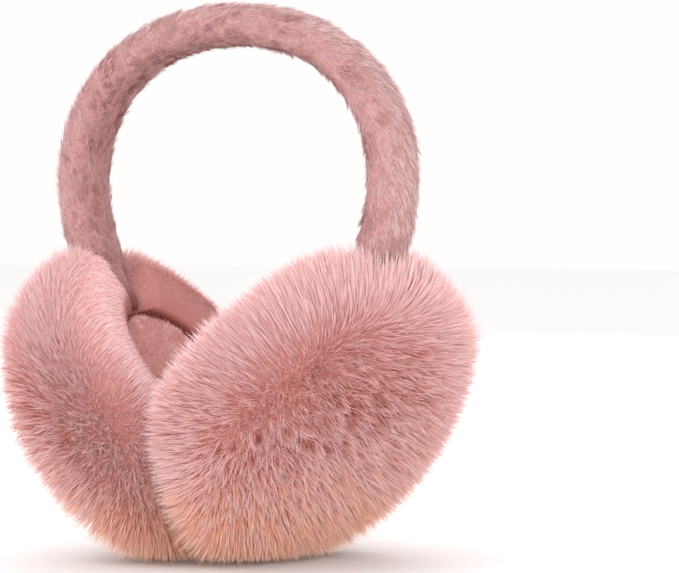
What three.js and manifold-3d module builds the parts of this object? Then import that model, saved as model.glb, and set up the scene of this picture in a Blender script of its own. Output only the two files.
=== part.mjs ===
// Fur earmuffs: a padded plush headband and two round cups of deep fur that spring together.
// Millimetres, +Z up. X runs from cup to cup, the front is at -Y, and the origin is on the
// ground midway between the cups, where the earmuffs stand on their pressed fur.
import * as THREE from "three";
import { mergeVertices } from "three/addons/utils/BufferGeometryUtils.js";
import Module from "manifold-3d";

// Headband: half an ellipse on top, carried on past its widest level by a second one
const archHalfWidth = 66; // centreline to the middle plane at the widest level
const archRise = 56; // centreline top above the widest level
const archDrop = 65; // half height of the ellipse below the widest level
const archTurnIn = 27.5; // degrees that each leg goes on past the widest level
const bandDepth = 24; // front to back
const bandThickness = 16.5;
const bandSquareness = 0.78; // 1 is an oval section, less is squarer

// Each end of the band lies flat on the cup's inner side, down to the ear pad
const tailThickness = 9;
const tailWidth = 19;
const tailInset = 17; // its centreline inwards of the cup's widest ring
const tailToPad = 3; // left between its end and the pad's edge

// Cup: a bun of fur, measured to the tips of its locks
const cupRadius = 67;
const domeHeight = 34.5; // outer side above the widest ring
const domeRoundness = 0.82; // 1 is an ellipse, less is fuller
const rollHeight = 23.5; // crest of the rolled rim on the inner side, below the widest ring
const rollRoundness = 0.72;
const crestRadius = 45;
const hollowRadius = 32; // mouth of the ear hollow at the seam round the pad
const seamDepth = 16; // the seam, below the widest ring
const hollowFloor = 7; // bottom of the hollow, below the widest ring

// How the cups hang: both lean inwards at the bottom until they press on each other and on the ground
const cupLean = 39; // degrees from upright
const hangHeight = 57; // where the band's arch ends, up the cup from its centre
const hangInset = 12.5; // and inwards of its widest ring
const groundPress = 5.5; // how deep the ground presses the fur flat
const middleGap = 0.3; // least distance of the fur from the middle plane
const middleSoftness = 7; // over what distance the fur gives way there
const cupPoses = [
  { side: "right", mirror: 1, toeIn: 8, nod: 0 },
  { side: "left", mirror: -1, toeIn: 8, nod: 3 },
];

// Ear pad
const padCrown = 3.5; // middle of its face above its edge
const padEdge = 3; // its edge below the seam
const seatGap = 0.3; // clearance between pieces that touch

// Locks of fur on the outer side, fused to the backing
const lockPitch = 18;
const lockReach = 13; // along the surface
const lockRise = 4.5; // tips above the backing
const lockRoot = 3; // base below the backing's surface
const lockFullness = 1.5; // 0 is a straight taper, more is a blunter tuft
const lockBend = 0.4; // where along its reach a lock turns over
const fewestLocks = 3; // in the row round the dome's middle
const lockWidth = 15;
const lockThickness = 8;
const lockSpread = 0.2; // random share of a lock's size and place
const innerLockShare = 0.55; // how far the locks go from the widest ring towards the crest

// Fineness
const ringSegments = 36;
const bandSides = 12;
const archSteps = 15;
const tailSteps = 4;
const profileSteps = 6;
const lipSteps = 3;
const padSteps = 4;
const curveSteps = 24; // for measuring along the cup's section
const lockSides = 4;
const weldDistance = 1e-4;

const furPink = new THREE.Color(0.8, 0.56, 0.53);
const plushPink = new THREE.Color(0.76, 0.53, 0.52);
const padPink = new THREE.Color(0.72, 0.47, 0.45);

const wasm = await Module();
wasm.setup();

const radians = THREE.MathUtils.degToRad;
const lean = radians(cupLean);

// A half turn of a superellipse: from (0, 1) to (1, 0) as share goes from 0 to 1
function roundedCorner(share, roundness) {
  const angle = (1 - share) * Math.PI * 0.5;
  return { along: Math.cos(angle) ** roundness, up: Math.sin(angle) ** roundness };
}

// The cup's section as points (radius, height over the widest ring), from the dome's middle to the crest
function cupEdge(inset, steps, lastShare) {
  const points = [];
  for (let i = 0; i <= steps; i++) {
    const corner = roundedCorner(i / steps, domeRoundness);
    points.push(new THREE.Vector2((cupRadius - inset) * corner.along, (domeHeight - inset) * corner.up));
  }
  for (let i = 1; i <= steps; i++) {
    const share = (lastShare * i) / steps;
    const corner = roundedCorner(1 - share, rollRoundness);
    const rollWidth = cupRadius - inset * (1 - share) - crestRadius;
    points.push(new THREE.Vector2(crestRadius + rollWidth * corner.along, -rollHeight * corner.up));
  }
  return points;
}

// How far the tilted cup reaches below its centre
function reachBelowCentre() {
  return Math.max(...cupEdge(0, curveSteps, 1).map((p) => p.y * Math.sin(lean) + p.x * Math.cos(lean)));
}

// Where a point of the cup's middle section lies, in the plane of the headband
const cupHeight = reachBelowCentre() - groundPress;
const archEnd = new THREE.Vector2(
  archHalfWidth * Math.cos(radians(archTurnIn)),
  cupHeight + hangInset * Math.sin(lean) + hangHeight * Math.cos(lean),
);
const archLevel = archEnd.y + archDrop * Math.sin(radians(archTurnIn));
const cupCentre = new THREE.Vector3(
  archEnd.x + hangInset * Math.cos(lean) - hangHeight * Math.sin(lean),
  0,
  cupHeight,
);

function onCup(inset, height) {
  return new THREE.Vector2(
    cupCentre.x - inset * Math.cos(lean) + height * Math.sin(lean),
    cupCentre.z + inset * Math.sin(lean) + height * Math.cos(lean),
  );
}

// Stations of the band from its top to its right end, each with the size of its section there
function halfBand() {
  const stations = [];
  for (let i = 0; i <= archSteps; i++) {
    const angle = Math.PI / 2 - (i / archSteps) * (Math.PI / 2 + radians(archTurnIn));
    const height = Math.sin(angle) * (angle > 0 ? archRise : archDrop);
    stations.push({
      centre: new THREE.Vector2(archHalfWidth * Math.cos(angle), archLevel + height),
      width: bandDepth,
      thickness: bandThickness,
    });
  }
  const tailEnd = onCup(tailInset, hollowRadius + tailToPad);
  const tailLength = tailEnd.distanceTo(archEnd);
  const legWay = archEnd.clone().sub(stations[archSteps - 1].centre).normalize();
  const tail = new THREE.CubicBezierCurve(
    archEnd,
    archEnd.clone().addScaledVector(legWay, tailLength / 3),
    onCup(tailInset, hollowRadius + tailToPad + tailLength / 3),
    tailEnd,
  );
  for (let i = 1; i <= tailSteps; i++) {
    const share = i / tailSteps;
    stations.push({
      centre: tail.getPoint(share),
      width: THREE.MathUtils.lerp(bandDepth, tailWidth, share),
      thickness: THREE.MathUtils.lerp(bandThickness, tailThickness, share),
    });
  }
  return stations;
}

// The band, or with a clearance the room that it needs, open towards the cup's inner side
function bandGeometry(clearance, openInwards) {
  const half = halfBand();
  const flip = (s) => ({ ...s, centre: new THREE.Vector2(-s.centre.x, s.centre.y) });
  const stations = [...half.slice(1).reverse().map(flip), ...half];
  const rows = stations.length - 1;
  const geometry = new THREE.CylinderGeometry(1, 1, 1, bandSides, rows);
  const position = geometry.getAttribute("position");
  for (let i = 0; i < position.count; i++) {
    const row = Math.round((position.getY(i) + 0.5) * rows);
    const { centre, width, thickness } = stations[row];
    const before = stations[Math.max(row - 1, 0)].centre;
    const after = stations[Math.min(row + 1, rows)].centre;
    const along = after.clone().sub(before).normalize();
    const inwards = new THREE.Vector2(along.y, -along.x);
    const across = Math.sign(position.getX(i)) * Math.abs(position.getX(i)) ** bandSquareness;
    const through = Math.sign(position.getZ(i)) * Math.abs(position.getZ(i)) ** bandSquareness;
    const place = centre.clone();
    place.addScaledVector(inwards, through * (thickness / 2 + clearance));
    if (through > 0) place.addScaledVector(inwards, openInwards * through);
    if (row === 0) place.addScaledVector(along, -clearance);
    if (row === rows) place.addScaledVector(along, clearance);
    position.setXYZ(i, place.x, across * (width / 2 + clearance), place.y);
  }
  return geometry;
}

// A repeatable random number from -1 to 1 for a lock
function chance(row, place, use) {
  const wave = Math.sin(row * 12.9898 + place * 78.233 + use * 37.719) * 43758.5453;
  return 2 * (wave - Math.floor(wave)) - 1;
}

// Cup coordinates are outwards, front to back and up the cup
function cupMatrix(pose) {
  return new THREE.Matrix4()
    .makeTranslation(cupCentre)
    .multiply(new THREE.Matrix4().makeRotationX(radians(pose.nod)))
    .multiply(new THREE.Matrix4().makeRotationZ(radians(-pose.toeIn)))
    .multiply(new THREE.Matrix4().makeRotationY(lean));
}

// Moves a geometry to its place on the cup, where the fur gives way at the middle plane
function hangAndPress(geometry, matrix) {
  geometry.applyMatrix4(matrix);
  const position = geometry.getAttribute("position");
  for (let i = 0; i < position.count; i++) {
    const past = position.getX(i) - middleGap;
    position.setX(i, middleGap + (past + Math.hypot(past, middleSoftness)) / 2);
  }
  return geometry;
}

// A section of (radius, height) points turned round the cup's outward axis
function turnedOnCup(points) {
  const geometry = new THREE.LatheGeometry(points, ringSegments);
  const position = geometry.getAttribute("position");
  for (let i = 0; i < position.count; i++) {
    position.setXYZ(i, position.getY(i), position.getX(i), position.getZ(i));
  }
  return geometry;
}

function furBacking() {
  const points = cupEdge(lockRise, profileSteps, 1);
  for (let i = 1; i <= lipSteps; i++) {
    const angle = (i / lipSteps) * Math.PI * 0.5;
    points.push(
      new THREE.Vector2(
        crestRadius - (crestRadius - hollowRadius) * Math.sin(angle),
        -seamDepth - (rollHeight - seamDepth) * Math.cos(angle),
      ),
    );
  }
  points.push(new THREE.Vector2(hollowRadius, -seamDepth + padEdge));
  points.push(new THREE.Vector2(hollowRadius, -hollowFloor));
  points.push(new THREE.Vector2(0, -hollowFloor));
  return turnedOnCup(points);
}

// One lock: a tapered, bent tuft whose root is in the backing
function lockGeometry(root, middle, tip, sideways, size) {
  const bend = new THREE.QuadraticBezierCurve3(root, middle, tip);
  const geometry = new THREE.ConeGeometry(1, 1, lockSides, 2);
  const position = geometry.getAttribute("position");
  for (let i = 0; i < position.count; i++) {
    const share = position.getY(i) + 0.5;
    const along = bend.getTangent(share);
    const through = new THREE.Vector3().crossVectors(sideways, along).normalize();
    const fullness = 1 + lockFullness * share;
    const place = bend.getPoint(share);
    place.addScaledVector(sideways, position.getX(i) * fullness * size * lockWidth * 0.5);
    place.addScaledVector(through, position.getZ(i) * fullness * size * lockThickness * 0.5);
    position.setXYZ(i, place.x, place.y, place.z);
  }
  return geometry;
}

// Rows of locks from the dome's middle over the rim, combed outwards
function furLocks() {
  const locks = [];
  const edge = new THREE.SplineCurve(cupEdge(lockRise, curveSteps, innerLockShare));
  const rows = Math.round(edge.getLength() / lockPitch);
  for (let row = 0; row < rows; row++) {
    const share = (row + 0.5) / rows;
    const foot = edge.getPointAt(share);
    const way = edge.getTangentAt(share);
    const count = Math.max(fewestLocks, Math.round((2 * Math.PI * foot.x) / lockPitch));
    for (let k = 0; k < count; k++) {
      const angle = (2 * Math.PI * (k + (row % 2) / 2 + lockSpread * chance(row, k, 1))) / count;
      const size = 1 + lockSpread * chance(row, k, 2);
      const radial = new THREE.Vector3(0, Math.sin(angle), Math.cos(angle));
      const outwards = new THREE.Vector3(1, 0, 0);
      const onEdge = (r, n) => radial.clone().multiplyScalar(r).addScaledVector(outwards, n);
      const surface = onEdge(foot.x, foot.y);
      const lay = onEdge(way.x, way.y);
      const normal = onEdge(-way.y, way.x);
      const sideways = new THREE.Vector3().crossVectors(lay, normal);
      const root = surface.clone().addScaledVector(normal, -lockRoot);
      const middle = surface.clone().addScaledVector(normal, lockRise);
      middle.addScaledVector(lay, lockReach * lockBend);
      const tip = surface.clone().addScaledVector(normal, lockRise * size);
      tip.addScaledVector(lay, lockReach * size);
      locks.push(lockGeometry(root, middle, tip, sideways, size));
    }
  }
  return locks;
}

function earPad(matrix) {
  const edge = hollowRadius - seatGap;
  const points = [];
  for (let i = 0; i <= padSteps; i++) {
    const angle = (i / padSteps) * Math.PI * 0.5;
    const face = -seamDepth + padEdge - padCrown * Math.cos(angle);
    points.push(new THREE.Vector2(edge * Math.sin(angle), face));
  }
  points.push(new THREE.Vector2(edge, -hollowFloor - seatGap));
  points.push(new THREE.Vector2(0, -hollowFloor - seatGap));
  return hangAndPress(turnedOnCup(points.reverse()), matrix);
}

// Closed solid from a geometry whose faces may still be split along seams
function solidOf(geometry) {
  const bare = new THREE.BufferGeometry();
  bare.setAttribute("position", geometry.getAttribute("position"));
  bare.setIndex(geometry.getIndex());
  const welded = mergeVertices(bare, weldDistance);
  const corners = welded.getIndex().array;
  const faces = [];
  for (let i = 0; i < corners.length; i += 3) {
    const [a, b, c] = corners.slice(i, i + 3);
    if (a !== b && b !== c && c !== a) faces.push(a, b, c);
  }
  return new wasm.Manifold(
    new wasm.Mesh({
      numProp: 3,
      vertProperties: welded.getAttribute("position").array,
      triVerts: new Uint32Array(faces),
    }),
  );
}

function geometryOf(solid) {
  const mesh = solid.getMesh();
  const geometry = new THREE.BufferGeometry();
  geometry.setAttribute("position", new THREE.BufferAttribute(mesh.vertProperties, 3));
  geometry.setIndex(new THREE.BufferAttribute(mesh.triVerts, 1));
  geometry.computeVertexNormals();
  return geometry;
}

function fabric(color) {
  return new THREE.MeshStandardMaterial({ color, roughness: 0.95, metalness: 0 });
}

function namedMesh(name, geometry, color) {
  const mesh = new THREE.Mesh(geometry, fabric(color));
  mesh.name = name;
  return mesh;
}

// Everything above the ground, as one box
function aboveGround() {
  const size = 4 * (archHalfWidth + cupRadius);
  const box = new THREE.BoxGeometry(size, size, size);
  box.translate(0, 0, size / 2);
  return solidOf(box);
}

const bandRoom = solidOf(bandGeometry(seatGap, rollHeight));
const roomAboveGround = aboveGround();

function furCup(matrix) {
  let fur = solidOf(hangAndPress(furBacking(), matrix));
  for (const lock of furLocks()) fur = fur.add(solidOf(hangAndPress(lock, matrix)));
  return geometryOf(fur.intersect(roomAboveGround).subtract(bandRoom));
}

const earmuffs = new THREE.Group();
earmuffs.add(namedMesh("headband", bandGeometry(0, 0), plushPink));
for (const pose of cupPoses) {
  const side = new THREE.Group();
  side.scale.x = pose.mirror;
  const matrix = cupMatrix(pose);
  side.add(namedMesh(`cup_fur_${pose.side}`, furCup(matrix), furPink));
  side.add(namedMesh(`ear_pad_${pose.side}`, earPad(matrix), padPink));
  earmuffs.add(side);
}

export default earmuffs;
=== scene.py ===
import math
import bpy
import numpy as np
from mathutils import Matrix, Vector


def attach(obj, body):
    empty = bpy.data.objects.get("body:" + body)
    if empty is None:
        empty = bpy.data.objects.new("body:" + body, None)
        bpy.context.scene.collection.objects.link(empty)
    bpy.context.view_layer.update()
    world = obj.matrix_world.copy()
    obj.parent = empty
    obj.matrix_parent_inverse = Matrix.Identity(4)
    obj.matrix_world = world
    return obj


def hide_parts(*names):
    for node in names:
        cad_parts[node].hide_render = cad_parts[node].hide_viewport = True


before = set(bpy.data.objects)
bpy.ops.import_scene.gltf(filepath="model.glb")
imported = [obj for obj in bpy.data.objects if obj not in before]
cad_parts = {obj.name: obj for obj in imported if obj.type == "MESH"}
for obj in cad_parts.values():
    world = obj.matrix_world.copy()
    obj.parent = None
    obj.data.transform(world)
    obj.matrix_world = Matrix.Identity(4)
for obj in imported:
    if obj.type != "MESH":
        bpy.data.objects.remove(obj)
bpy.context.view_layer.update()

# Fur earmuffs standing on their pressed fur, in metres. X runs from cup to cup, the front is at -Y.

# Camera, floor and light

view = {
    "azimuth": 32.9,  # degrees round from the front
    "elevation": 1.5,
    "distance": 1.1,
    "metresPerPixel": 0.00036,  # at the target's distance
    "centrePixel": (339.5, 286.5),
    "originPixel": (233.9, 301.0),  # where the point below lies in the picture
    "originHeight": 0.0923,
    "sensor": 36.0,
    "pictureWidth": 679,
}


def newObject(name, data):
    made = bpy.data.objects.new(name, data)
    bpy.context.scene.collection.objects.link(made)
    return made


def aimCamera():
    turn, rise = math.radians(view["azimuth"]), math.radians(view["elevation"])
    right = Vector((math.cos(turn), math.sin(turn), 0))
    backwards = Vector((math.sin(turn) * math.cos(rise), -math.cos(turn) * math.cos(rise), math.sin(rise)))
    up = backwards.cross(right)
    origin = Vector((0, 0, view["originHeight"]))
    place = origin + backwards * view["distance"]
    acrossPixels = view["centrePixel"][0] - view["originPixel"][0]
    upPixels = view["originPixel"][1] - view["centrePixel"][1]
    target = origin + (right * acrossPixels + up * upPixels) * view["metresPerPixel"]
    data = bpy.data.cameras.new("photoCamera")
    data.sensor_width = view["sensor"]
    data.lens = view["sensor"] * view["distance"] / (view["metresPerPixel"] * view["pictureWidth"])
    camera = newObject("photoCamera", data)
    camera.location = place
    camera.rotation_euler = (place - target).to_track_quat("Z", "Y").to_euler()
    bpy.context.scene.camera = camera


studio = {
    "floorSize": 12.0,
    "floorColour": (0.965, 0.96, 0.96, 1),
    "floorRoughness": 0.9,
    "worldColour": (1.0, 0.99, 0.985, 1),
    "worldStrength": 1.0,
    # name: place, size of the lamp, watts, colour
    "lamps": {
        "keyLamp": ((-0.55, -1.15, 1.35), 0.9, 6, (1, 0.985, 0.97)),
        "fillLamp": ((0.75, -1.3, 0.22), 0.5, 14, (1, 0.985, 0.975)),
        "backLamp": ((-0.4, 1.3, 1.1), 1.0, 8, (1, 0.99, 1)),
    },
    "aimHeight": 0.09,
}


def buildStudio():
    mesh = bpy.data.meshes.new("floor")
    half = studio["floorSize"] / 2
    corners = [(-half, -half, 0), (half, -half, 0), (half, half, 0), (-half, half, 0)]
    mesh.from_pydata(corners, [], [(0, 1, 2, 3)])
    floor = newObject("floor", mesh)
    material = bpy.data.materials.new("floorPaper")
    material.use_nodes = True
    shader = material.node_tree.nodes["Principled BSDF"]
    shader.inputs["Base Color"].default_value = studio["floorColour"]
    shader.inputs["Roughness"].default_value = studio["floorRoughness"]
    mesh.materials.append(material)
    world = bpy.data.worlds.new("studioWorld")
    world.use_nodes = True
    background = world.node_tree.nodes["Background"]
    background.inputs["Color"].default_value = studio["worldColour"]
    background.inputs["Strength"].default_value = studio["worldStrength"]
    bpy.context.scene.world = world
    bpy.context.scene.view_settings.view_transform = "Standard"
    aim = Vector((0, 0, studio["aimHeight"]))
    for name, (place, size, watts, colour) in studio["lamps"].items():
        data = bpy.data.lights.new(name, "AREA")
        data.size = size
        data.energy = watts
        data.color = colour
        lamp = newObject(name, data)
        lamp.location = place
        lamp.rotation_euler = (Vector(place) - aim).to_track_quat("Z", "Y").to_euler()


# The form of the band and the cups, as in the frame

bandShape = {
    "halfWidth": 0.066,
    "rise": 0.056,
    "drop": 0.065,
    "turnIn": 27.5,
    "depth": 0.024,
    "thickness": 0.0165,
    "squareness": 0.78,
    "tailThickness": 0.009,
    "tailWidth": 0.019,
    "tailInset": 0.017,
    "tailToPad": 0.003,
    "pileRoom": 0.0011,  # from the backing to the ends of the pile
    "taperStations": 18,  # over which the ends grow thinner
    "tailSinking": 0.003,
    "tailEndShare": 0.5,  # of its width that is left at the end
    "endRounding": 3,  # stations that round each end off
    "shoulders": 0.94,  # under 1 the arch is squarer
    "stations": 150,
    "archShare": 0.4,  # of the stations, for half the arch
    "tailShare": 0.1,  # for each end
    "sides": 36,
}

cupShape = {
    "radius": 0.067,
    "dome": 0.0345,
    "domeRoundness": 0.82,
    "roll": 0.0235,
    "rollRoundness": 0.72,
    "crest": 0.045,
    "hollow": 0.032,
    "seamDepth": 0.016,
    "floorDepth": 0.007,
    "lean": 39.0,
    "hangHeight": 0.057,
    "hangInset": 0.0125,
    "groundPress": 0.0055,
    "middleGap": 0.0003,
    "middleSoftness": 0.007,
    "groundGap": 0.0008,
    "groundSoftness": 0.004,
    "furRoom": 0.0070,  # from the backing to the ends of the fur, on the dome
    "rollRoom": 0.0018,  # and on the rolled rim's inner side
    "steps": (28, 24, 10, 3),  # rows of the dome, the roll, its lip and the hollow's wall
    "floorRows": (0.7, 0.35),  # rows of the hollow's floor, as shares of its radius
    "turns": 104,
}

cupPoses = {
    # toeIn and nod in degrees
    # frontRoll: how much fuller the roll is at the front
    # mottled: the middle of the patch where the fur falls apart, as shares of the way out from the
    # dome's middle, backwards and up, and between which distances from it the fur grows smooth
    # shags: degrees from the cup's top towards its back, extra height, and from and to which share of
    # the way from the dome's middle over the roll to the hollow's floor
    "right": {
        "mirror": 1,
        "toeIn": 8.0,
        "nod": 0.0,
        "frontRoll": 0.0,
        "mottled": (-0.2, -0.08, 0.22, 0.5),
        "shags": (
            (10, 0.0105, 0.3, 0.56),
            (150, 0.0035, 0.1, 0.4),
            (245, 0.0045, 0.3, 0.55),
            (285, 0.0035, 0.62, 0.74),
        ),
    },
    "left": {
        "mirror": -1,
        "toeIn": 8.0,
        "nod": 3.0,
        "frontRoll": 0.0022,
        "mottled": (-0.3, -0.15, 0.3, 0.6),
        "shags": (
            (228, 0.0075, 0.08, 0.45),
            (5, 0.0085, 0.37, 0.52),
            (265, 0.003, 0.15, 0.45),
            (275, 0.004, 0.64, 0.74),
        ),
    },
}

lean = math.radians(cupShape["lean"])


def roundedCorner(share, roundness):
    angle = (1 - share) * math.pi / 2
    return abs(math.cos(angle)) ** roundness, abs(math.sin(angle)) ** roundness


def smooth(value, low, high):
    share = np.clip((value - low) / (high - low), 0, 1)
    return share * share * (3 - 2 * share)


def cupEdge(room, rollRoom):
    # the cup's section as rows of (radius, height over the widest ring), with the fur's room taken off
    shape = cupShape
    domeSteps, rollSteps, lipSteps, wallSteps = shape["steps"]
    rows = []
    for i in range(1, domeSteps + 1):
        along, up = roundedCorner(i / domeSteps, shape["domeRoundness"])
        rows.append(((shape["radius"] - room) * along, (shape["dome"] - room) * up))
    for i in range(1, rollSteps + 1):
        share = i / rollSteps
        along, up = roundedCorner(1 - share, shape["rollRoundness"])
        here = room + (rollRoom - room) * share
        width = shape["radius"] - here - shape["crest"]
        rows.append((shape["crest"] + width * along, -(shape["roll"] - rollRoom * share) * up))
    for i in range(1, lipSteps + 1):
        angle = i / lipSteps * math.pi / 2
        drop = shape["roll"] - rollRoom - shape["seamDepth"]
        rows.append((
            shape["crest"] - (shape["crest"] - shape["hollow"]) * math.sin(angle),
            -shape["seamDepth"] - drop * math.cos(angle),
        ))
    wall = np.linspace(-shape["seamDepth"], -shape["floorDepth"], wallSteps + 1)[1:]
    rows += [(shape["hollow"], height) for height in wall]
    rows += [(shape["hollow"] * share, -shape["floorDepth"]) for share in shape["floorRows"]]
    return np.array(rows)


def cupReach():
    rows = cupEdge(0, 0)
    return float(np.max(rows[:, 1] * math.sin(lean) + rows[:, 0] * math.cos(lean)))


def cupCentre():
    height = cupReach() - cupShape["groundPress"]
    legEnd = bandShape["halfWidth"] * math.cos(math.radians(bandShape["turnIn"]))
    inset, hang = cupShape["hangInset"], cupShape["hangHeight"]
    return Vector((legEnd + inset * math.cos(lean) - hang * math.sin(lean), 0, height))


def cupPlace(pose):
    nodded = Matrix.Rotation(math.radians(pose["nod"]), 4, "X")
    turned = nodded @ Matrix.Rotation(math.radians(-pose["toeIn"]), 4, "Z")
    return Matrix.Translation(cupCentre()) @ turned @ Matrix.Rotation(lean, 4, "Y")


def place(points, matrix):
    m = np.array(matrix)
    return points @ m[:3, :3].T + m[:3, 3]


def givesWay(values, limit, softness):
    # soft stuff pressed on a plane: far values stay, the rest closes up on the limit
    past = values - limit
    return limit + (past + np.hypot(past, softness)) / 2


def pressed(points):
    out = points.copy()
    out[..., 0] = givesWay(out[..., 0], cupShape["middleGap"], cupShape["middleSoftness"])
    out[..., 2] = givesWay(out[..., 2], cupShape["groundGap"], cupShape["groundSoftness"])
    return out


# Closed forms made of rings

def ringForm(name, rings, firstPole, lastPole):
    rows, turns = rings.shape[:2]
    points = np.concatenate([rings.reshape(-1, 3), [firstPole, lastPole]])
    first, last = rows * turns, rows * turns + 1
    faces = []
    for j in range(turns):
        k = (j + 1) % turns
        faces.append((first, j, k))
        faces.append((last, (rows - 1) * turns + k, (rows - 1) * turns + j))
    for i in range(rows - 1):
        for j in range(turns):
            k = (j + 1) % turns
            faces.append((i * turns + j, (i + 1) * turns + j, (i + 1) * turns + k, i * turns + k))
    if signedVolume(points, faces) < 0:
        faces = [face[::-1] for face in faces]
    mesh = bpy.data.meshes.new(name)
    mesh.from_pydata(points.tolist(), [], faces)
    mesh.polygons.foreach_set("use_smooth", [True] * len(faces))
    return newObject(name, mesh)


def signedVolume(points, faces):
    total = 0.0
    for face in faces:
        a = points[face[0]]
        for b, c in zip(face[1:-1], face[2:]):
            total += np.dot(a, np.cross(points[b], points[c]))
    return total


def pointsOf(mesh):
    values = np.empty(len(mesh.vertices) * 3, np.float32)
    mesh.vertices.foreach_get("co", values)
    return values.reshape(-1, 3).astype(float)


def normalsOf(mesh):
    values = np.empty(len(mesh.vertices) * 3, np.float32)
    mesh.vertex_normals.foreach_get("vector", values)
    return values.reshape(-1, 3).astype(float)


def unit(vectors):
    return vectors / np.maximum(np.linalg.norm(vectors, axis=-1, keepdims=True), 1e-9)


def keep(mesh, name, values):
    # a float or vector attribute on the mesh's points
    kind = "FLOAT_VECTOR" if values.ndim == 2 else "FLOAT"
    attribute = mesh.attributes.get(name) or mesh.attributes.new(name, kind, "POINT")
    attribute.data.foreach_set("vector" if values.ndim == 2 else "value", values.astype(np.float32).ravel())


def keepAll(mesh, values):
    for name, value in values.items():
        keep(mesh, name, value if np.ndim(value) else np.full(len(mesh.vertices), value))


def combedDown(rings, points):
    combed = np.zeros_like(points)
    combed[:-2] = unit(np.gradient(rings, axis=0)).reshape(-1, 3)
    return combed


# Stuffing: each backing is cloth blown up a little inside its seams

stuffing = {
    "pressure": 4.0,
    "frames": 16,
    "quality": 5,
    "vertexMass": 0.02,
    "leastHold": 0.01,  # points held less than this are free
    # how far a point may move
    "bandLimit": 0.0006,
    "cupLimit": 0.0012,
    "padLimit": 0.0008,
}


def stuff(piece, limit, held):
    # held is the share of each point that the seams keep in place
    before = pointsOf(piece.data)
    group = piece.vertex_groups.new(name="seams")
    for index in np.nonzero(held > stuffing["leastHold"])[0]:
        group.add([int(index)], float(held[index]), "REPLACE")
    cloth = piece.modifiers.new("stuffing", "CLOTH")
    settings = cloth.settings
    settings.quality = stuffing["quality"]
    settings.mass = stuffing["vertexMass"]
    settings.use_pressure = True
    settings.uniform_pressure_force = stuffing["pressure"]
    settings.vertex_group_mass = "seams"
    settings.effector_weights.gravity = 0
    cloth.collision_settings.use_collision = False
    cloth.point_cache.frame_end = stuffing["frames"]
    for frameNumber in range(1, stuffing["frames"] + 1):
        bpy.context.scene.frame_set(frameNumber)
    depsgraph = bpy.context.evaluated_depsgraph_get()
    after = pointsOf(piece.evaluated_get(depsgraph).data)
    piece.modifiers.remove(cloth)
    piece.vertex_groups.remove(group)
    bpy.context.scene.frame_set(1)
    move = after - before
    far = np.linalg.norm(move, axis=1, keepdims=True)
    move *= np.minimum(1, limit / np.maximum(far, 1e-9))
    piece.data.vertices.foreach_set("co", (before + move).astype(np.float32).ravel())
    piece.data.update()
    moved = round(float(far.max()) * 1000, 2)
    print("stuffed", piece.name, "moved up to", moved, "mm, kept to", limit * 1000)


# The headband's plush sleeve

def bandStations():
    # rows of centre x, centre z, width, thickness from the left end to the right
    shape = bandShape
    centre = cupCentre()
    turnIn = math.radians(shape["turnIn"])
    along = Vector((math.sin(lean), math.cos(lean)))  # up the cup
    inwards = Vector((-math.cos(lean), math.sin(lean)))
    middle = Vector((centre.x, centre.z))
    legEnd = middle + along * cupShape["hangHeight"] + inwards * cupShape["hangInset"]
    level = legEnd.y + shape["drop"] * math.sin(turnIn)
    tailEnd = middle + along * (cupShape["hollow"] + shape["tailToPad"]) + inwards * shape["tailInset"]
    steps = shape["stations"]
    archSteps, tailSteps = int(steps * shape["archShare"]), int(steps * shape["tailShare"])
    rows = []
    for i in range(archSteps + 1):
        angle = math.pi / 2 - i / archSteps * (math.pi / 2 + turnIn)
        across, up = math.cos(angle), math.sin(angle)
        if angle > 0:
            across, up = across ** shape["shoulders"], up ** shape["shoulders"]
        height = up * (shape["rise"] if angle > 0 else shape["drop"])
        rows.append((shape["halfWidth"] * across, level + height, shape["depth"], shape["thickness"]))
    legWay = (legEnd - Vector(rows[-2][:2])).normalized()
    handle = (tailEnd - legEnd).length / 3
    hooks = [legEnd, legEnd + legWay * handle, tailEnd + along * handle, tailEnd]
    for i in range(1, tailSteps + 1):
        t = i / tailSteps
        weights = [(1 - t) ** 3, 3 * t * (1 - t) ** 2, 3 * t * t * (1 - t), t ** 3]
        spot = sum((hook * weight for hook, weight in zip(hooks, weights)), Vector((0, 0)))
        width = shape["depth"] + (shape["tailWidth"] - shape["depth"]) * t
        thickness = shape["thickness"] + (shape["tailThickness"] - shape["thickness"]) * t
        rows.append((spot.x, spot.y, width, thickness))
    half = np.array(rows)
    left = half[:0:-1] * np.array([-1, 1, 1, 1])
    return np.concatenate([left, half])


def sleeveForm(name, room):
    stations = bandStations()
    centres = np.stack([stations[:, 0], np.zeros(len(stations)), stations[:, 1]], 1)
    ways = unit(np.gradient(centres, axis=0))
    inwards = np.stack([ways[:, 2], np.zeros(len(ways)), -ways[:, 0]], 1)
    angles = np.linspace(0, 2 * math.pi, bandShape["sides"], endpoint=False)
    power = bandShape["squareness"]
    across = np.sign(np.cos(angles)) * np.abs(np.cos(angles)) ** power
    through = np.sign(np.sin(angles)) * np.abs(np.sin(angles)) ** power
    fromEnd = np.minimum(np.arange(len(stations)), np.arange(len(stations))[::-1])
    rounding = np.sqrt(1 - (1 - np.clip(fromEnd / bandShape["endRounding"], 0.15, 1)) ** 2)
    # the ends run out under the rolls' fur
    taper = smooth(fromEnd, 0, bandShape["taperStations"])
    fullness = bandShape["tailEndShare"] + (1 - bandShape["tailEndShare"]) * taper
    widths = (stations[:, 2] / 2 - room) * rounding * fullness
    thicknesses = (stations[:, 3] / 2 - room) * rounding * fullness
    centres = centres - inwards * (bandShape["tailSinking"] * (1 - taper))[:, None]
    side = np.array([0, 1, 0])
    rings = centres[:, None] + across[None, :, None] * widths[:, None, None] * side
    rings = rings + through[None, :, None] * thicknesses[:, None, None] * inwards[:, None]
    return ringForm(name, rings, centres[0], centres[-1]), rings.shape[:2]


# The cups

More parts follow.
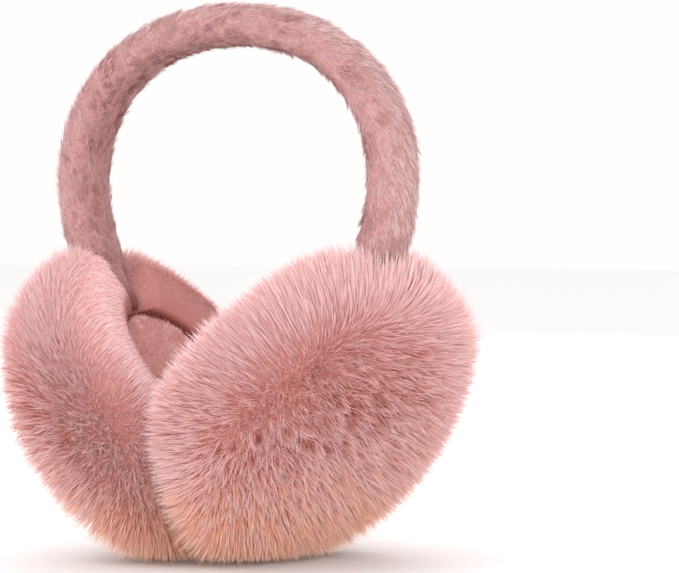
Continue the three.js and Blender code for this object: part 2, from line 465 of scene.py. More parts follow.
channel = {
    # the dent that the band's end presses into each cup
    "gap": 0.0006,
    "narrowing": 0.2,  # share of the width that is missing at the lower end
    "widensOver": 0.7,  # share of the channel's length over which it grows to full width
    "side": (0.0005, 0.0025),  # where the wall starts and ends, past the band's side
    "lowerEnd": (-0.001, 0.0015),
    "longest": 1.3,
}


def tailRoom(world, local):
    # how far each point of the cup has to give way outwards to the band's end
    shape = bandShape
    low = cupShape["hollow"]
    up = np.clip((local[..., 2] - low) / (cupShape["hangHeight"] - low), 0, channel["longest"])
    half = (shape["tailWidth"] + (shape["depth"] - shape["tailWidth"]) * np.clip(up, 0, 1)) / 2
    narrowing = channel["narrowing"]
    half = half * (1 - narrowing + narrowing * smooth(up, 0, channel["widensOver"]))
    bottom = -(shape["tailInset"] - shape["tailThickness"] / 2)
    top = -(cupShape["hangInset"] - shape["thickness"] / 2)
    floor = bottom + (top - bottom) * up + channel["gap"]
    wallStart, wallEnd = channel["side"]
    inside = 1 - smooth(np.abs(world[..., 1]), half + wallStart, half + wallEnd)
    endStart, endEnd = channel["lowerEnd"]
    inside = inside * smooth(local[..., 2], low + endStart, low + endEnd)
    return inside * np.maximum(floor - local[..., 0], 0)


shagEdges = {
    # how far before and past its ends a shag grows and fades, as shares of the way to the hollow
    "start": (-0.1, 0.08),
    "end": (-0.05, 0.12),
    "turn": (-0.2, 0.9),  # cosines of the angle from its middle
}


def shagOf(pose, share, turned):
    extra = np.zeros_like(turned)
    grows, grown = shagEdges["start"]
    fades, faded = shagEdges["end"]
    for turn, height, start, end in pose["shags"]:
        along = smooth(share, start + grows, start + grown) * (1 - smooth(share, end + fades, end + faded))
        extra += height * along * smooth(np.cos(turned - math.radians(turn)), *shagEdges["turn"])
    return extra


def turnedRows(rows, turns):
    angles = np.linspace(0, 2 * math.pi, turns, endpoint=False)
    return np.stack([
        np.repeat(rows[:, 1:2], turns, 1),
        rows[:, 0:1] * np.sin(angles),
        rows[:, 0:1] * np.cos(angles),
    ], -1), angles


def placedForm(name, local, firstHeight, lastHeight, pose):
    # from a cup's own axes to the standing pair's, pressed on the floor and at the middle
    matrix = cupPlace(pose)
    mirror = np.array([pose["mirror"], 1, 1])
    poles = np.array([[firstHeight, 0, 0], [lastHeight, 0, 0]])
    rings = pressed(place(local, matrix)) * mirror
    poles = pressed(place(poles, matrix)) * mirror
    return ringForm(name, rings, poles[0], poles[1]), local


rollFullness = {
    # where the front's fuller roll starts, is full, starts to fade and ends, on the way to the hollow
    "shares": (0.58, 0.72, 0.8, 0.9),
    "front": (0.1, 0.7),  # sines of the angle towards the front
}


def cupForm(name, pose):
    rows = cupEdge(cupShape["furRoom"], cupShape["rollRoom"])
    local, angles = turnedRows(rows, cupShape["turns"])
    share = np.arange(len(rows))[:, None] / len(rows)
    raised = shagOf(pose, share, np.arctan2(local[..., 1], local[..., 2])) / 2
    local[..., 0] += raised * np.clip(1.2 - share * 2, 0, 1)
    starts, full, fades, ends = rollFullness["shares"]
    fuller = smooth(share, starts, full) * (1 - smooth(share, fades, ends))
    fuller = fuller * smooth(-np.sin(angles), *rollFullness["front"])
    local[..., 0] -= pose["frontRoll"] * fuller
    local[..., 0] += tailRoom(place(local, cupPlace(pose)), local)
    return placedForm(name, local, rows[0, 1] + 0.0001, -cupShape["floorDepth"], pose)


padShape = {
    "crown": 0.0035,
    "edge": 0.0012,  # how far the pad's rim lies under the roll's lip
    "gap": 0.0006,
    "pileRoom": 0.0010,
    "waves": 7,
    "waveHeight": 0.0004,
    "wavesFrom": 0.6,  # share of the way out
    "backRows": (0.96, 0.5),  # as shares of the radius
    "steps": 14,
    "turns": 84,
}


def padForm(name, pose):
    shape = padShape
    edge = cupShape["hollow"] - shape["gap"] - shape["pileRoom"] / 2
    face = -cupShape["seamDepth"] + shape["edge"]
    rows = []
    for i in range(1, shape["steps"] + 1):
        angle = i / shape["steps"] * math.pi / 2
        rows.append((edge * math.sin(angle), face - (shape["crown"] - shape["pileRoom"]) * math.cos(angle)))
    back = -cupShape["floorDepth"] - shape["gap"]
    rows.append((edge, (face + back) / 2))
    rows += [(edge * share, back) for share in shape["backRows"]]
    rows = np.array(rows)
    local, angles = turnedRows(rows, shape["turns"])
    waves = shape["waveHeight"] * np.sin(angles * shape["waves"])
    local[..., 0] += waves * smooth(rows[:, 0:1] / edge, shape["wavesFrom"], 1)
    return placedForm(name, local, face - shape["crown"] + shape["pileRoom"], back, pose)


# Fur and pile: each strand is a thin three-sided cone bent along a curve

pileKinds = ("coat", "under", "inner", "band", "pad")

pile = {
    # a value for each kind
    "Strands": (17400, 43000, 13000, 25000, 4500),
    "Half width": (0.00014, 0.00017, 0.00013, 0.00014, 0.00016),  # at the root
    "Length": (1.0, 0.86, 1.0, 1.0, 1.0),  # share of the length that the piece gives
    "Length spread": (0.5, 0.5, 0.35, 0.4, 0.3),  # how much shorter a strand may be
    "Tufts": (260000, 260000, 200000, 90000, 200000),  # in a square metre
    "Tuft pull": (0.62, 0.5, 0.3, 0.5, 0.3),  # of the tips, to the tuft's middle
    "Tuft turn": (0.18, 0.18, 0.15, 0.14, 0.2),
    "Tuft tint": (0.075, 0.075, 0.04, 0.10, 0.08),
    "Frizz": (0.18, 0.2, 0.15, 0.1, 0.25),
    "Root lift": (0.14, 0.1, 0.1, 0.07, 0.1),
    "Droop": (0.03, 0.02, 0.0, 0.0, 0.0),
    "Sinking": (0.0006, 0.0006, 0.0004, 0.0004, 0.0003),
    # noise patches in loose fur: a little random tone, and mostly painted shade between the clumps
    "Patch tint": (2.3, 2.3, 0.3, 2.8, 1.2),
    "Patch size": (0.0034, 0.0034, 0.006, 0.008, 0.006),
    "Seed": (3, 3, 5, 4, 6),
    "Bends": (2, 1, 1, 1, 1),
}

strandForm = {
    "middleAt": 0.4,  # share of the length where the curve's middle lies
    "middlePull": 0.25,  # share of the tuft's pull there
    "ownSide": 0.35,  # how much of its own side shows in its shading
    "tintSpread": 0.035,
    "tintRange": (0.02, 0.96),
    "patchesFrom": 0.35,  # how loose fur has to be to show patches
    "patchLimit": 0.1,
    # its place in the colour map: from the root up, and its sides' width there
    "mapRoot": 0.04,
    "mapLength": 0.9,
    "mapShift": 0.01,
    "mapWidth": 0.012,
    "mapTilt": 0.01,
}

floorLimit = {"height": 0.0004, "softness": 0.0012, "middle": -0.0004, "middleSoftness": 0.0016}


def nodeMaker(tree):
    def add(kind, inputs, **settings):
        # a node of this kind, its settings, and its inputs as values or links
        made = tree.nodes.new(kind)
        for name, value in settings.items():
            setattr(made, name, value)
        for key, value in inputs.items():
            if isinstance(value, bpy.types.NodeSocket):
                tree.links.new(value, made.inputs[key])
            else:
                made.inputs[key].default_value = value
        return made

    return add


def pileTree():
    tree = bpy.data.node_groups.new("pile", "GeometryNodeTree")
    face = tree.interface
    face.new_socket("Geometry", in_out="INPUT", socket_type="NodeSocketGeometry")
    for name in ("Density", *pile, "Side", "Middle"):
        kind = "NodeSocketInt" if name in ("Seed", "Bends") else "NodeSocketFloat"
        if name != "Strands":
            face.new_socket(name, in_out="INPUT", socket_type=kind)
    face.new_socket("Material", in_out="INPUT", socket_type="NodeSocketMaterial")
    face.new_socket("Geometry", in_out="OUTPUT", socket_type="NodeSocketGeometry")
    add = nodeMaker(tree)

    def number(operation, *values):
        return add("ShaderNodeMath", dict(enumerate(values)), operation=operation).outputs[0]

    def plus(a, b):
        return number("ADD", a, b)

    def times(a, b):
        return number("MULTIPLY", a, b)

    def vector(operation, *values):
        made = add("ShaderNodeVectorMath", dict(enumerate(values)), operation=operation)
        return made.outputs["Vector"]

    def scaled(value, factor):
        made = add("ShaderNodeVectorMath", {"Vector": value, "Scale": factor}, operation="SCALE")
        return made.outputs["Vector"]

    def total(*vectors):
        out = vectors[0]
        for other in vectors[1:]:
            out = vector("ADD", out, other)
        return out

    def read(name, kind="FLOAT"):
        return add("GeometryNodeInputNamedAttribute", {"Name": name}, data_type=kind).outputs["Attribute"]

    def readWay(name):
        return read(name, "FLOAT_VECTOR")

    def store(geometry, name, value, kind="FLOAT", domain="POINT"):
        made = add(
            "GeometryNodeStoreNamedAttribute", {"Geometry": geometry, "Name": name, "Value": value},
            data_type=kind, domain=domain,
        )
        return made.outputs["Geometry"]

    def chance(low, high, offset):
        seed = plus(given["Seed"], offset)
        return add("FunctionNodeRandomValue", {2: low, 3: high, "Seed": seed}, data_type="FLOAT").outputs[1]

    def chances(offset):
        seed = plus(given["Seed"], offset)
        inputs = {0: (-1, -1, -1), 1: (1, 1, 1), "Seed": seed}
        return add("FunctionNodeRandomValue", inputs, data_type="FLOAT_VECTOR").outputs[0]

    given = tree.nodes.new("NodeGroupInput").outputs
    here = add("GeometryNodeInputPosition", {}).outputs[0]

    def scattered(density, seed):
        inputs = {"Mesh": given["Geometry"], "Density": density, "Seed": seed}
        made = add("GeometryNodeDistributePointsOnFaces", inputs, distribute_method="RANDOM")
        return made.outputs["Points"]

    tufts = scattered(given["Tufts"], plus(given["Seed"], 40))
    tufts = store(tufts, "tuftTurn", chances(41), "FLOAT_VECTOR")
    tufts = store(tufts, "tuftTint", chance(-1, 1, 42))

    roots = scattered(times(given["Density"], read("coat")), given["Seed"])
    inputs = {"Geometry": tufts, "Sample Position": here}
    nearest = add("GeometryNodeSampleNearest", inputs, domain="POINT").outputs[0]

    def ofTuft(value, kind):
        inputs = {"Geometry": tufts, "Value": value, "Index": nearest}
        return add("GeometryNodeSampleIndex", inputs, data_type=kind, domain="POINT").outputs["Value"]

    loose = read("loose")
    pull = scaled(vector("SUBTRACT", ofTuft(here, "FLOAT_VECTOR"), here), loose)
    turned = ofTuft(readWay("tuftTurn"), "FLOAT_VECTOR")
    turn = scaled(turned, times(given["Tuft turn"], loose))
    shorter = times(given["Length spread"], chance(0, 1, 1))
    length = times(read("pile"), number("SUBTRACT", 1, shorter))
    way = vector("NORMALIZE", total(
        scaled(readWay("combed"), number("SUBTRACT", 1, read("rise"))),
        scaled(readWay("standing"), read("rise")),
        turn,
        scaled(chances(2), times(given["Frizz"], loose)),
    ))
    tuftTint = times(loose, given["Tuft tint"])
    tint = plus(
        plus(read("zone"), times(chance(-1, 1, 3), strandForm["tintSpread"])),
        times(ofTuft(read("tuftTint"), "FLOAT"), tuftTint),
    )
    # noise patches: a little random tone, and painted shade between the clumps of loose fur, as they may
    # darken far more than lighten
    patches = add(
        "ShaderNodeTexNoise",
        {"Vector": here, "Scale": number("DIVIDE", 1, given["Patch size"]), "Detail": 2.0, "Roughness": 0.6},
    ).outputs["Fac"]
    patches = times(number("SUBTRACT", patches, 0.5), given["Patch tint"])
    looser = number("MAXIMUM", number("SUBTRACT", loose, strandForm["patchesFrom"]), 0)
    patches = number("MINIMUM", times(patches, looser), strandForm["patchLimit"])
    tint = plus(tint, patches)
    length = times(length, given["Length"])
    roots = store(roots, "root", here, "FLOAT_VECTOR")
    roots = store(roots, "up", vector("NORMALIZE", readWay("standing")), "FLOAT_VECTOR")
    roots = store(roots, "way", way, "FLOAT_VECTOR")
    roots = store(roots, "pull", scaled(pull, given["Tuft pull"]), "FLOAT_VECTOR")
    roots = store(roots, "length", length)
    roots = store(roots, "spin", chances(4), "FLOAT_VECTOR")
    least, most = strandForm["tintRange"]
    tint = add("ShaderNodeClamp", {"Value": tint, "Min": least, "Max": most}).outputs[0]
    roots = store(roots, "tint", tint)

    # one strand, kept as numbers: how far along it and where round it each point lies
    inputs = {"Vertices": 3, "Side Segments": given["Bends"]}
    inputs.update({"Radius Top": 0.0, "Radius Bottom": 1.0, "Depth": 1.0})
    cone = add("GeometryNodeMeshCone", inputs, fill_type="NGON").outputs["Mesh"]
    strand = store(cone, "limb", here, "FLOAT_VECTOR")
    strands = add("GeometryNodeInstanceOnPoints", {"Points": roots, "Instance": strand}).outputs["Instances"]
    strands = add("GeometryNodeRealizeInstances", {"Geometry": strands}).outputs["Geometry"]

    limb = add("ShaderNodeSeparateXYZ", {0: readWay("limb")})
    share = limb.outputs["Z"]
    rest = number("SUBTRACT", 1, share)
    base = readWay("root")
    up = readWay("up")
    way = readWay("way")
    long = read("length")
    start = total(base, scaled(up, times(given["Sinking"], -1)))
    middle = total(
        base,
        scaled(up, times(long, given["Root lift"])),
        scaled(way, times(long, strandForm["middleAt"])),
    )
    down = times(times(long, given["Droop"]), -1)
    fall = add("ShaderNodeCombineXYZ", {"Z": down}).outputs[0]
    tip = total(base, scaled(way, long), readWay("pull"), fall)
    middle = total(middle, scaled(readWay("pull"), strandForm["middlePull"]))
    spot = total(
        scaled(start, times(rest, rest)),
        scaled(middle, times(times(rest, share), 2)),
        scaled(tip, times(share, share)),
    )
    sideways = vector("NORMALIZE", vector("CROSS_PRODUCT", way, readWay("spin")))
    crossways = vector("CROSS_PRODUCT", way, sideways)
    fullness = times(given["Half width"], plus(1, share))
    spot = total(
        spot,
        scaled(sideways, times(limb.outputs["X"], fullness)),
        scaled(crossways, times(limb.outputs["Y"], fullness)),
    )

    def softLimit(value, limit, softness):
        past = number("SUBTRACT", value, limit)
        square = plus(times(past, past), softness * softness)
        return plus(limit, times(plus(past, number("SQRT", square)), 0.5))

    parts = add("ShaderNodeSeparateXYZ", {0: spot})
    across = times(parts.outputs["X"], given["Side"])
    across = softLimit(across, given["Middle"], floorLimit["middleSoftness"])
    spot = add("ShaderNodeCombineXYZ", {
        "X": times(across, given["Side"]),
        "Y": parts.outputs["Y"],
        "Z": softLimit(parts.outputs["Z"], floorLimit["height"], floorLimit["softness"]),
    }).outputs[0]
    strands = add("GeometryNodeSetPosition", {"Geometry": strands, "Position": spot}).outputs["Geometry"]
    # shaded nearly as the coat's own surface is, which is what makes fur look soft
    side = total(scaled(sideways, limb.outputs["X"]), scaled(crossways, limb.outputs["Y"]))
    softly = vector("NORMALIZE", total(up, scaled(side, strandForm["ownSide"])))
    inputs = {"Mesh": strands, "Custom Normal": softly}
    strands = add("GeometryNodeSetMeshNormal", inputs, mode="FREE", domain="POINT").outputs["Mesh"]

    # colour reads this map alone: tint across it, the way from root to tip up it
    spread = times(limb.outputs["X"], times(rest, strandForm["mapWidth"]))
    tilt = times(limb.outputs["Y"], strandForm["mapTilt"])
    upMap = plus(times(share, strandForm["mapLength"]), tilt)
    flat = add("ShaderNodeCombineXYZ", {
        "X": plus(read("tint"), plus(spread, strandForm["mapShift"])),
        "Y": plus(strandForm["mapRoot"], upMap),
    }).outputs[0]
    strands = store(strands, "OFBake", flat, "FLOAT2", "CORNER")
    dressed = add("GeometryNodeSetMaterial", {"Geometry": strands, "Material": given["Material"]})
    strands = dressed.outputs["Geometry"]
    spent = ("limb", "root", "up", "way", "pull", "length", "spin", "coat", "pile", "rise", "zone", "loose")
    for name in spent:
        cleared = add("GeometryNodeRemoveAttribute", {"Geometry": strands, "Name": name})
        strands = cleared.outputs["Geometry"]
    out = tree.nodes.new("NodeGroupOutput")
    tree.links.new(strands, out.inputs["Geometry"])
    return tree


def areaOfCoat(mesh, coat):
    total = 0.0
    for face in mesh.polygons:
        total += face.area * float(np.mean(coat[list(face.vertices)]))
    return total


def grow(tree, name, body, kind, coat, material, mirror=1, middle=-1.0):
    keep(body.data, "coat", coat)
    carrier = newObject(name + "Carrier", body.data.copy())
    modifier = carrier.modifiers.new("pile", "NODES")
    modifier.node_group = tree
    column = pileKinds.index(kind)
    inputs = {key: values[column] for key, values in pile.items()}
    inputs["Density"] = inputs["Strands"] / areaOfCoat(body.data, coat)
    inputs.update({"Side": float(mirror), "Middle": middle, "Material": material})
    for socket in tree.interface.items_tree:
        if socket.in_out == "INPUT" and socket.name in inputs:
            modifier[socket.identifier] = inputs[socket.name]
    depsgraph = bpy.context.evaluated_depsgraph_get()
    mesh = bpy.data.meshes.new_from_object(carrier.evaluated_get(depsgraph))
    mesh.name = name
    bpy.data.objects.remove(carrier)
    piece = newObject(name, mesh)
    mesh.calc_loop_triangles()
    print("grew", name, "with", len(mesh.loop_triangles), "triangles")
    return piece


# Materials

# where each tint lies along the colour map; the crease and gap tints are painted shade, deep in the creases
# and between the clumps
tints = {"crease": 0.0, "gap": 0.12, "rose": 0.35, "pale": 0.62, "peach": 0.92}

furColours = {
    # tint: the colour at a strand's root and at its tip; the darker roots are partly the fur's own colour
    # and partly painted shade deep in the pile
    "crease": ((0.24, 0.055, 0.04), (0.50, 0.18, 0.14)),
    "gap": ((0.40, 0.10, 0.07), (0.66, 0.29, 0.24)),
    "rose": ((0.64, 0.245, 0.205), (0.98, 0.71, 0.675)),
    "pale": ((0.80, 0.50, 0.50), (0.90, 0.705, 0.72)),
    "peach": ((0.80, 0.38, 0.26), (0.98, 0.67, 0.50)),
    "rootEnds": 0.3,
    "tipStarts": 1.0,
    "roughness": 0.7,
    "sheen": 0.3,
}

underColours = {
    # the undercoat; its crease and gap tints are painted shade, and its darker roots partly so
    "crease": ((0.22, 0.05, 0.035), (0.48, 0.16, 0.12)),
    "gap": ((0.34, 0.08, 0.055), (0.58, 0.23, 0.19)),
    "rose": ((0.58, 0.20, 0.165), (0.90, 0.575, 0.54)),
    "pale": ((0.80, 0.50, 0.50), (0.88, 0.665, 0.68)),
    "peach": ((0.78, 0.36, 0.24), (0.96, 0.62, 0.45)),
    "rootEnds": 0.3,
    "tipStarts": 1.0,
    "roughness": 0.7,
    "sheen": 0.25,
}

shearedColours = {
    # the short pile of the rolls' inner side and of the ear pads; its darker colours are painted shade,
    # where the roll turns inwards and backwards and deep in the hollow
    "crease": ((0.22, 0.05, 0.035), (0.38, 0.12, 0.09)),
    "gap": ((0.30, 0.085, 0.065), (0.42, 0.15, 0.125)),
    "rose": ((0.40, 0.135, 0.115), (0.52, 0.215, 0.19)),
    "pale": ((0.84, 0.54, 0.54), (0.98, 0.76, 0.76)),
    "peach": ((0.84, 0.46, 0.36), (1.0, 0.72, 0.58)),
    "rootEnds": 0.1,
    "tipStarts": 0.8,
    "roughness": 0.75,
    "sheen": 0.15,
}

bandColours = {
    # the band's pile; its crease and gap tints are painted shade, and its darker roots partly so
    "crease": ((0.18, 0.05, 0.045), (0.30, 0.12, 0.11)),
    "gap": ((0.25, 0.09, 0.08), (0.36, 0.17, 0.16)),
    "rose": ((0.38, 0.18, 0.175), (0.52, 0.305, 0.30)),
    "pale": ((0.54, 0.34, 0.35), (0.71, 0.53, 0.54)),
    "peach": ((0.60, 0.37, 0.37), (0.77, 0.57, 0.57)),
    "rootEnds": 0.1,
    "tipStarts": 0.9,
    "roughness": 0.7,
    "sheen": 0.25,
}

furBacking = {
    # the cloth under the fur: between the tufts, and where the fur is short. Its gap colours are painted
    # shade between the tufts, its sheared dark colour painted shade on the rolls' inner and back sides, and
    # its crease colour painted shade in the creases
    "Patch size": 0.0011,
    "Gap dark": (0.33, 0.10, 0.08),
    "Gap light": (0.50, 0.22, 0.195),
    "Sheared dark": (0.30, 0.07, 0.055),
    "Sheared pale": (0.80, 0.45, 0.44),
    "Crease": (0.16, 0.03, 0.02),
    "roughness": 0.9,
    "sheen": 0.12,
}

bandBacking = {
    # the band's backing: its gap colours are painted shade between the strands, and its crease colour
    # painted shade at the ends under the rolls
    "Patch size": 0.0011,
    "Gap dark": (0.34, 0.165, 0.16),
    "Gap light": (0.46, 0.255, 0.25),
    "Sheared dark": (0.28, 0.09, 0.08),
    "Sheared pale": (0.60, 0.36, 0.36),
    "Crease": (0.22, 0.06, 0.05),
    "roughness": 0.9,
    "sheen": 0.12,
}

patchRange = (0.35, 0.65)  # of the noise, from dark to light

backingSockets = ("Gap dark", "Gap light", "Sheared dark", "Sheared pale", "Crease", "Patch size")


plainInputs = ("Root ends", "Tip starts", "Patch size")  # numbers, where the others are colours


def effectTree(name, inputs):
    # a shader node group with these inputs and one colour out, and the calls that fill it
    tree = bpy.data.node_groups.new(name, "ShaderNodeTree")
    for socketName in inputs:
        kind = "NodeSocketFloat" if socketName in plainInputs else "NodeSocketColor"
        tree.interface.new_socket(socketName, in_out="INPUT", socket_type=kind)
    tree.interface.new_socket("Colour", in_out="OUTPUT", socket_type="NodeSocketColor")
    given = tree.nodes.new("NodeGroupInput").outputs
    add = nodeMaker(tree)

    def blend(share, low, high):
        return add("ShaderNodeMix", {0: share, 6: low, 7: high}, data_type="RGBA").outputs[2]

    def finish(colour):
        tree.links.new(colour, tree.nodes.new("NodeGroupOutput").inputs["Colour"])
        return tree

    return given, add, blend, finish


def strandEffect():
    names = [end + tint for end in ("Root ", "Tip ") for tint in tints]
    given, add, blend, finish = effectTree("strandTint", names + ["Root ends", "Tip starts"])
    colourMap = add("ShaderNodeUVMap", {}, uv_map="OFBake").outputs["UV"]
    parts = add("ShaderNodeSeparateXYZ", {0: colourMap}).outputs

    def row(end):
        order = list(tints)
        colour = given[end + order[0]]
        for last, tint in zip(order, order[1:]):
            inputs = {"Value": parts["X"], "From Min": tints[last], "From Max": tints[tint]}
            share = add("ShaderNodeMapRange", inputs).outputs["Result"]
            colour = blend(share, colour, given[end + tint])
        return colour

    along = add(
        "ShaderNodeMapRange",
        {"Value": parts["Y"], "From Min": given["Root ends"], "From Max": given["Tip starts"]},
        interpolation_type="SMOOTHSTEP",
    ).outputs["Result"]
    return finish(blend(along, row("Root "), row("Tip ")))


def backingEffect():
    given, add, blend, finish = effectTree("backingTint", backingSockets)

    def read(name):
        return add("ShaderNodeAttribute", {}, attribute_name=name).outputs["Fac"]

    scale = add("ShaderNodeMath", {0: 1.0, 1: given["Patch size"]}, operation="DIVIDE").outputs[0]
    spot = add("ShaderNodeTexCoord", {}).outputs["Object"]
    noise = add("ShaderNodeTexNoise", {"Vector": spot, "Scale": scale, "Detail": 3.0}).outputs["Fac"]
    inputs = {"Value": noise, "From Min": patchRange[0], "From Max": patchRange[1]}
    patches = add("ShaderNodeMapRange", inputs).outputs["Result"]
    # painted shade: the gap colours between the tufts, the zone's dark end on the short pile, and the crease
    # colour in the creases
    gaps = blend(patches, given["Gap dark"], given["Gap light"])
    sheared = blend(read("zone"), given["Sheared dark"], given["Sheared pale"])
    return finish(blend(read("crease"), blend(read("sheared"), gaps, sheared), given["Crease"]))


def materialOf(name, effect, values, colours):
    # the effect's own values, and a plain rough shader with some sheen
    material = bpy.data.materials.new(name)
    material.use_nodes = True
    nodes = material.node_tree.nodes
    shader = nodes["Principled BSDF"]
    placed = nodes.new("ShaderNodeGroup")
    placed.node_tree = effect
    for key, value in values.items():
        placed.inputs[key].default_value = (*value, 1) if isinstance(value, tuple) else value
    material.node_tree.links.new(placed.outputs["Colour"], shader.inputs["Base Color"])
    shader.inputs["Roughness"].default_value = colours["roughness"]
    shader.inputs["Sheen Weight"].default_value = colours["sheen"]
    shader.inputs["Sheen Roughness"].default_value = 0.4
    shader.inputs["Specular IOR Level"].default_value = 0.25
    return material


def strandMaterial(name, effect, colours):
    values = {"Root ends": colours["rootEnds"], "Tip starts": colours["tipStarts"]}
    for tint in tints:
        values["Root " + tint], values["Tip " + tint] = colours[tint]
    return materialOf(name, effect, values, colours)


def backingMaterial(name, effect, colours):
    return materialOf(name, effect, {key: colours[key] for key in backingSockets}, colours)


# The pieces

def dress(piece, material=None):
    if material:
        piece.data.materials.append(material)
    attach(piece, "root")


bandPlush = {
    "seamRings": 4,  # that the seam holds at each end
    "along": 0.95,  # the way that the pile is combed
    "around": 0.32,
    "endLength": 0.0024,
    "moreLength": 0.0030,  # away from the ends
    "poleLength": 0.0015,
    "longer": (0.06, 0.16),  # shares of the band over which it grows longer
    "rise": 0.17,
    "loose": 1.0,
    "tint": 0.5,
    "topDarker": 0.12,
    "topHeights": (0.13, 0.19),
    "rightPaler": 0.04,
    "rightReach": 0.06,
    # painted shade on the side that faces the head, painted light on the outer side
    "insideShade": 0.2,
    # painted shade at the ends, where they run under the rolls
    "crease": (0.01, 0.07),
    "coatStarts": 0.01,
}


def buildBand(tree, strands, backing):
    body, (rows, sides) = sleeveForm("band_body", bandShape["pileRoom"])
    plush = bandPlush
    held = np.zeros(rows * sides + 2)
    held[:plush["seamRings"] * sides] = 1
    held[-2 - plush["seamRings"] * sides:] = 1
    stuff(body, stuffing["bandLimit"], held)
    mesh = body.data
    points = pointsOf(mesh)
    rings = points[:-2].reshape(rows, sides, 3)
    along = unit(np.gradient(rings, axis=0))
    around = unit(np.roll(rings, -1, 1) - np.roll(rings, 1, 1))
    combed = np.zeros_like(points)
    combed[:-2] = unit(along * plush["along"] + around * plush["around"]).reshape(-1, 3)
    fromEnd = np.minimum(np.arange(rows), np.arange(rows)[::-1]) / rows
    length = plush["endLength"] + plush["moreLength"] * smooth(fromEnd, *plush["longer"])
    angles = np.linspace(0, 2 * math.pi, sides, endpoint=False)
    towardsHead = np.append(np.tile(np.sin(angles), rows), (0, 0))
    zone = plush["tint"] - plush["topDarker"] * smooth(points[:, 2], *plush["topHeights"])
    zone += plush["rightPaler"] * smooth(points[:, 0], 0, plush["rightReach"])
    # the zone gets painted shade on the side that faces the head and painted light on the outer side, and
    # the ends painted shade where they run under the rolls
    keepAll(mesh, {
        "standing": normalsOf(mesh),
        "combed": combed,
        "pile": np.append(np.repeat(length, sides), [plush["poleLength"]] * 2),
        "rise": plush["rise"],
        "loose": plush["loose"],
        "zone": zone - plush["insideShade"] * towardsHead,
        "crease": np.append(np.repeat(1 - smooth(fromEnd, *plush["crease"]), sides), (1, 1)),
    })
    dress(body, backing)
    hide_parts("headband")
    coat = smooth(fromEnd, 0.0, plush["coatStarts"]) * 0.98 + 0.02
    coat = np.append(np.repeat(coat, sides), (0, 0))
    fur = grow(tree, "band_pile", body, "band", coat, strands)
    dress(fur)
    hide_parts("headband")


cupFur = {
    # shares of the way from the dome's middle over the roll to the hollow's floor, and a value at each
    "shares": (0.0, 0.22, 0.4, 0.6, 0.76),
    "length": (0.0086, 0.0086, 0.0086, 0.0075, 0.0024),
    "rise": (0.92, 0.86, 0.76, 0.62, 0.35),  # 1 stands up, 0 lies flat
    "loose": (1.9, 1.9, 0.9, 0.4, 0.5),
    "density": (0.9, 0.95, 1.05, 1.2, 1.0),
    # the same at the cup's top and rear rim, where the fur lies smooth
    "topLength": (0.0084, 0.0084, 0.0084, 0.0040, 0.0018),
    "topRise": (0.92, 0.84, 0.62, 0.38, 0.25),
    "topLoose": (1.9, 1.0, 0.3, 0.25, 0.3),
    "paleLoose": 0.5,  # share that the pale fur is less loose
    "lowLoose": 0.35,  # share that is left at the floor
}

cupTints = {
    "rose": 0.41,
    "morePale": 0.21,
    "peach": 0.88,
    "roll": 0.62,
    # painted shade on the roll, towards the cup's back
    "rollBackShade": 0.27,
    # painted shade on the roll's inner side, at the front
    "innerShade": 0.45,
    "paleBacking": 0.8,
}

cupFades = {
    # from where to where each thing sets in
    # heights
    "pale": (0.03, 0.09),
    "aboveFloor": (0.01, 0.04),
    "lessCalm": (0.005, 0.05),
    "lessPeach": (0.006, 0.062),
    "freeOfFloor": (0.002, 0.012),
    # distances from the middle plane
    "freeOfMiddle": (0.004, 0.014),
    # cosine or sine of the angle from the cup's top towards its back
    "top": (-0.1, 0.8),
    "rearTurn": (0.2, 0.8),
    "paleTurn": (0.0, 0.7),
    "backTurn": (-0.1, 0.5),
    # shares of the way from the dome's middle to the hollow's floor
    "rearRim": (0.45, 0.6),
    "paleOutside": (0.25, 0.45),
    "roll": (0.6, 0.72),
    "inner": (0.785, 0.84),
    "seam": (0.68, 0.8),
    "crease": (0.86, 0.92),
    "shortFur": (0.66, 0.78),
    "coatEnds": (0.7, 0.79),
    "innerStarts": (0.62, 0.74),
    "innerEnds": (0.92, 0.94),
}


def fade(name, value):
    return smooth(value, *cupFades[name])


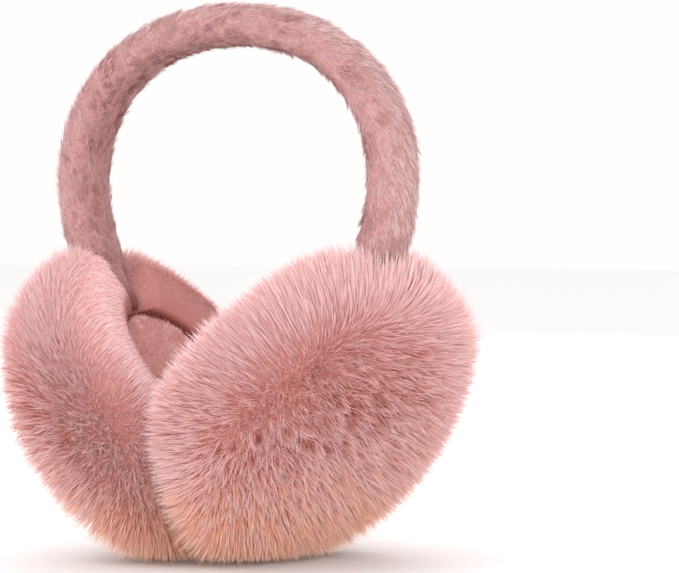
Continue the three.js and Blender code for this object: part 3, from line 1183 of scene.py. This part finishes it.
def buildCup(side, tree, strands, backing):
    pose = cupPoses[side]
    node = "cup_fur_" + side
    body, local = cupForm(node + "_body", pose)
    rows, turns = local.shape[:2]
    share = np.repeat(np.arange(rows) / rows, turns)
    held = fade("seam", share) * 0.999
    points = pointsOf(body.data)
    held = np.maximum(held, 1 - fade("freeOfFloor", points[:-2, 2]))
    held = np.maximum(held, 1 - fade("freeOfMiddle", np.abs(points[:-2, 0])))
    stuff(body, stuffing["cupLimit"], np.append(held, (0, 1)))
    mesh = body.data
    points = pointsOf(mesh)
    turned = np.arctan2(local[..., 1], local[..., 2]).ravel()
    atBack = np.sin(turned)
    atTop = np.maximum(fade("top", np.cos(turned)), fade("rearRim", share) * fade("rearTurn", atBack))

    def blend(key, topKey):
        low, high = (np.interp(share, cupFur["shares"], cupFur[name]) for name in (key, topKey))
        return low + (high - low) * atTop

    length = blend("length", "topLength") + shagOf(pose, share, turned) / 2
    rise = blend("rise", "topRise")
    loose = blend("loose", "topLoose")
    height = points[:-2, 2]
    pale = np.maximum(fade("pale", height), fade("paleTurn", atBack) * fade("aboveFloor", height))
    pale = pale * fade("paleOutside", share)
    backwards, upwards, near, far = pose["mottled"]
    away = np.hypot(share * atBack - backwards, share * np.cos(turned) - upwards)
    pale = np.maximum(pale, smooth(away, near, far) * fade("aboveFloor", height))
    lowLoose = cupFur["lowLoose"]
    loose = loose * (1 - cupFur["paleLoose"] * pale)
    loose = loose * (lowLoose + (1 - lowLoose) * fade("lessCalm", height))
    zone = cupTints["rose"] + cupTints["morePale"] * pale
    zone += (cupTints["peach"] - zone) * (1 - fade("lessPeach", height))
    # painted shade: the roll grows darker towards the back and on its inner side at the front, and the tint
    # runs dark into the crease
    onBack = fade("backTurn", atBack)
    zone += (cupTints["roll"] - cupTints["rollBackShade"] * onBack - zone) * fade("roll", share)
    zone -= cupTints["innerShade"] * fade("inner", share) * (1 - onBack)
    crease = fade("crease", share)
    zone = np.maximum(zone, 0) * (1 - crease)
    sheared = np.maximum(fade("shortFur", share), cupTints["paleBacking"] * pale)
    keepAll(mesh, {
        "standing": normalsOf(mesh),
        "combed": combedDown(points[:-2].reshape(rows, turns, 3), points),
        "pile": np.append(length, (length[0], 0)),
        "rise": np.append(rise, (rise[0], 0)),
        "loose": np.append(loose, (loose[0], 0)),
        "zone": np.append(zone, (zone[0], 0.0)),
        "crease": np.append(crease, (0, 1)),
        "sheared": np.append(sheared, (0, 1)),
    })
    dress(body, backing)
    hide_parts(node)
    outer = np.interp(share, cupFur["shares"], cupFur["density"]) * (1 - fade("coatEnds", share))
    outer = np.append(outer, (outer[0], 0))
    inner = np.append(fade("innerStarts", share) * (1 - fade("innerEnds", share)), (0, 0))
    for kind, coat, material in zip(("coat", "under", "inner"), (outer, outer, inner), strands):
        fur = grow(tree, node + "_" + kind, body, kind, coat, material, pose["mirror"], floorLimit["middle"])
        dress(fur)
        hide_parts(node)


padPlush = {
    "length": 0.0014,
    "rise": 0.5,
    "loose": 0.8,
    "tint": 0.42,
    # shares of the way from the face's middle to the back's
    "seam": (0.6, 0.8),
    # painted shade round the pad's rim, where it meets the hollow's wall
    "crease": (0.66, 0.8),
    "coatEnds": (0.78, 0.82),
}


def buildPad(side, tree, strands, backing):
    pose = cupPoses[side]
    node = "ear_pad_" + side
    body, local = padForm(node + "_body", pose)
    rows, turns = local.shape[:2]
    share = np.repeat(np.arange(rows) / rows, turns)
    stuff(body, stuffing["padLimit"], np.append(smooth(share, *padPlush["seam"]), (0, 1)))
    mesh = body.data
    points = pointsOf(mesh)
    # painted shade at the pad's rim
    crease = np.append(smooth(share, *padPlush["crease"]), (0, 1))
    keepAll(mesh, {
        "standing": normalsOf(mesh),
        "combed": combedDown(points[:-2].reshape(rows, turns, 3), points),
        "pile": padPlush["length"],
        "rise": padPlush["rise"],
        "loose": padPlush["loose"],
        "zone": padPlush["tint"] * (1 - crease),
        "crease": crease,
        "sheared": 1.0,
    })
    dress(body, backing)
    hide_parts(node)
    coat = np.append(1 - smooth(share, *padPlush["coatEnds"]), (1, 0))
    fur = grow(tree, node + "_pile", body, "pad", coat, strands, pose["mirror"], floorLimit["middle"])
    dress(fur)
    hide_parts(node)


buildStudio()
aimCamera()
print("studio and camera ready")
tree = pileTree()
strandTint = strandEffect()
backingTint = backingEffect()
furMaterial = strandMaterial("furStrands", strandTint, furColours)
underMaterial = strandMaterial("undercoatStrands", strandTint, underColours)
shearedMaterial = strandMaterial("shearedPile", strandTint, shearedColours)
bandMaterial = strandMaterial("bandStrands", strandTint, bandColours)
gapMaterial = backingMaterial("furBacking", backingTint, furBacking)
print("materials ready")
buildBand(tree, bandMaterial, backingMaterial("bandBacking", backingTint, bandBacking))
for side in cupPoses:
    buildCup(side, tree, (furMaterial, underMaterial, shearedMaterial), gapMaterial)
    buildPad(side, tree, shearedMaterial, gapMaterial)
